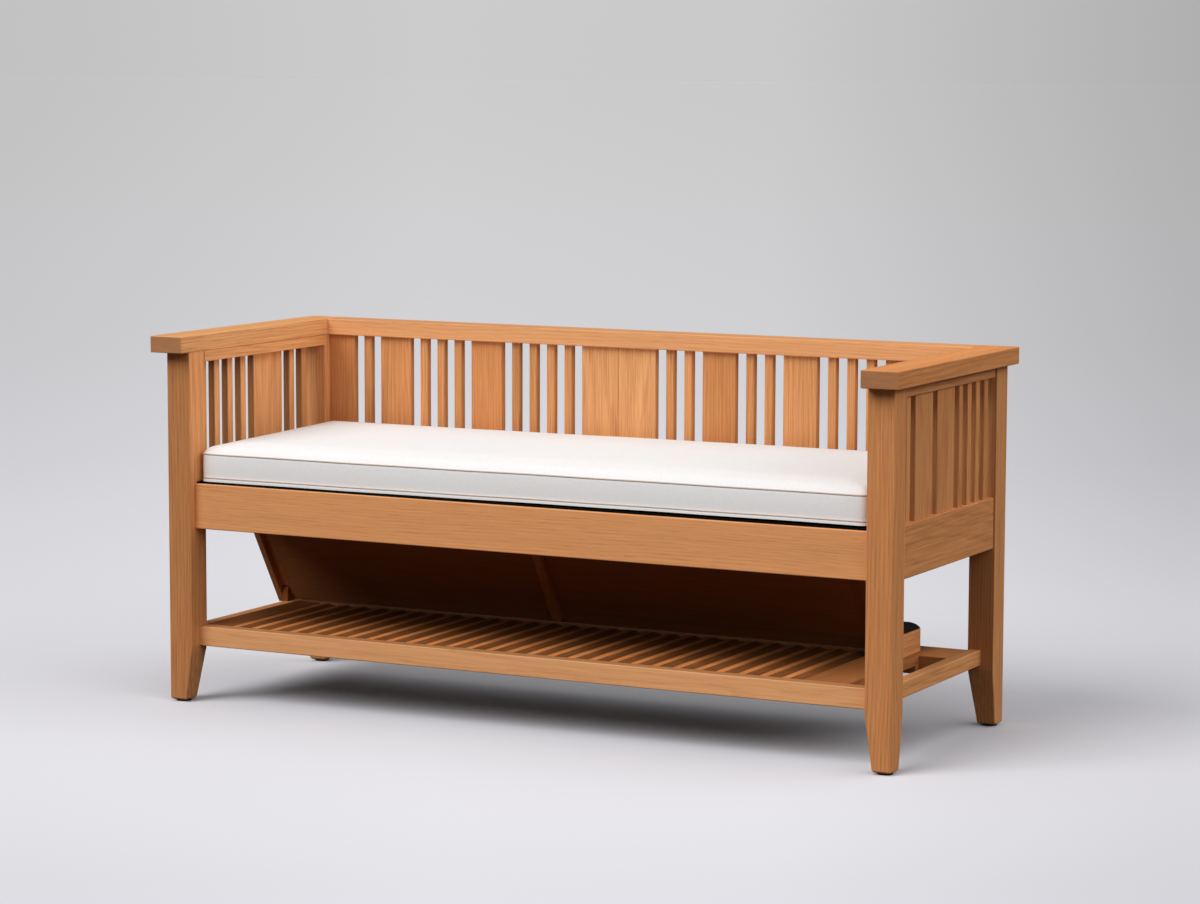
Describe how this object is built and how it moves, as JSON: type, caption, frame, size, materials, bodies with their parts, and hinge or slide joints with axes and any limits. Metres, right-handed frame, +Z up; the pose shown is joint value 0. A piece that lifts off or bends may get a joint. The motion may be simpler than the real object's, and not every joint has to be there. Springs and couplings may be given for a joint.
{
  "type": "mission settle",
  "caption": "Slatted oak settle with square arms, loose seat cushion, slatted shelf and a drop panel hinged under the seat.",
  "frame": {"origin": "on the floor, under the middle of the settle's length and depth over the caps", "axes": "+X to the viewer's right along the length, -Y out of the front, +Z up"},
  "size_m": [1.45, 0.547, 0.668],
  "materials": {
    "oak": "satin oil",
    "black_board": "matt black stain",
    "black_housing": "satin black",
    "steel": "satin",
    "glide_nylon": "matt",
    "cushion_cover": "plain weave"
  },
  "bodies": {
    "frame": {"arm_cap_left": "oak", "arm_cap_right": "oak", "arm_rail_left": "oak", "arm_rail_right": "oak", "back_cap": "oak", "back_slat_wide_1": "oak", "back_slat_wide_2": "oak", "back_slat_wide_3": "oak", "back_slat_wide_4": "oak", "back_slat_wide_5": "oak", "back_slat_wide_6": "oak", "back_slat_wide_7": "oak", "back_slat_wide_8": "oak", "back_slat_wide_9": "oak", "back_slats_narrow_left": "oak", "back_slats_narrow_middle": "oak", "back_slats_narrow_right": "oak", "foot_glides": "glide_nylon", "hinge_block_right": "oak", "hinge_cheek_left": "oak", "hinge_cover": "black_housing", "post_front_left": "oak", "post_front_right": "oak", "post_rear_left": "oak", "post_rear_right": "oak", "seat_bearers": "oak", "seat_board": "black_board", "seat_cleat_left": "oak", "seat_cleat_right": "oak", "seat_rail_front": "oak", "seat_rail_left": "oak", "seat_rail_rear": "oak", "seat_rail_right": "oak", "seat_screws": "steel", "shelf_end_board_left": "oak", "shelf_end_board_right": "oak", "shelf_ledger_front": "oak", "shelf_ledger_rear": "oak", "shelf_rail_front": "oak", "shelf_rail_rear": "oak", "shelf_slats_1": "oak", "shelf_slats_2": "oak", "shelf_slats_3": "oak", "shelf_slats_4": "oak", "shelf_stretcher_left": "oak", "shelf_stretcher_right": "oak", "side_slat_wide_left": "oak", "side_slat_wide_right_1": "oak", "side_slat_wide_right_2": "oak", "side_slats_narrow_left": "oak", "side_slats_narrow_right": "oak"},
    "panel": {"panel_board_left": "oak", "panel_board_right": "oak", "panel_muntin": "oak", "panel_rail_bottom": "oak", "panel_rail_top": "oak", "panel_stile_left": "oak", "panel_stile_right": "oak", "hinge_pins": "steel"},
    "cushion_body": {"cushion": "cushion_cover"}
  },
  "joints": [
    {"name": "panel_hinge", "type": "hinge", "parent": "frame", "child": "panel", "pos_m": [0, 0.1094, 0.157], "axis": [1, 0, 0], "range_deg": [0, 58]},
    {"name": "cushion_lift", "type": "slide", "parent": "frame", "child": "cushion_body", "axis": [0, 0, 1], "range_m": [0, 0.25]}
  ]
}
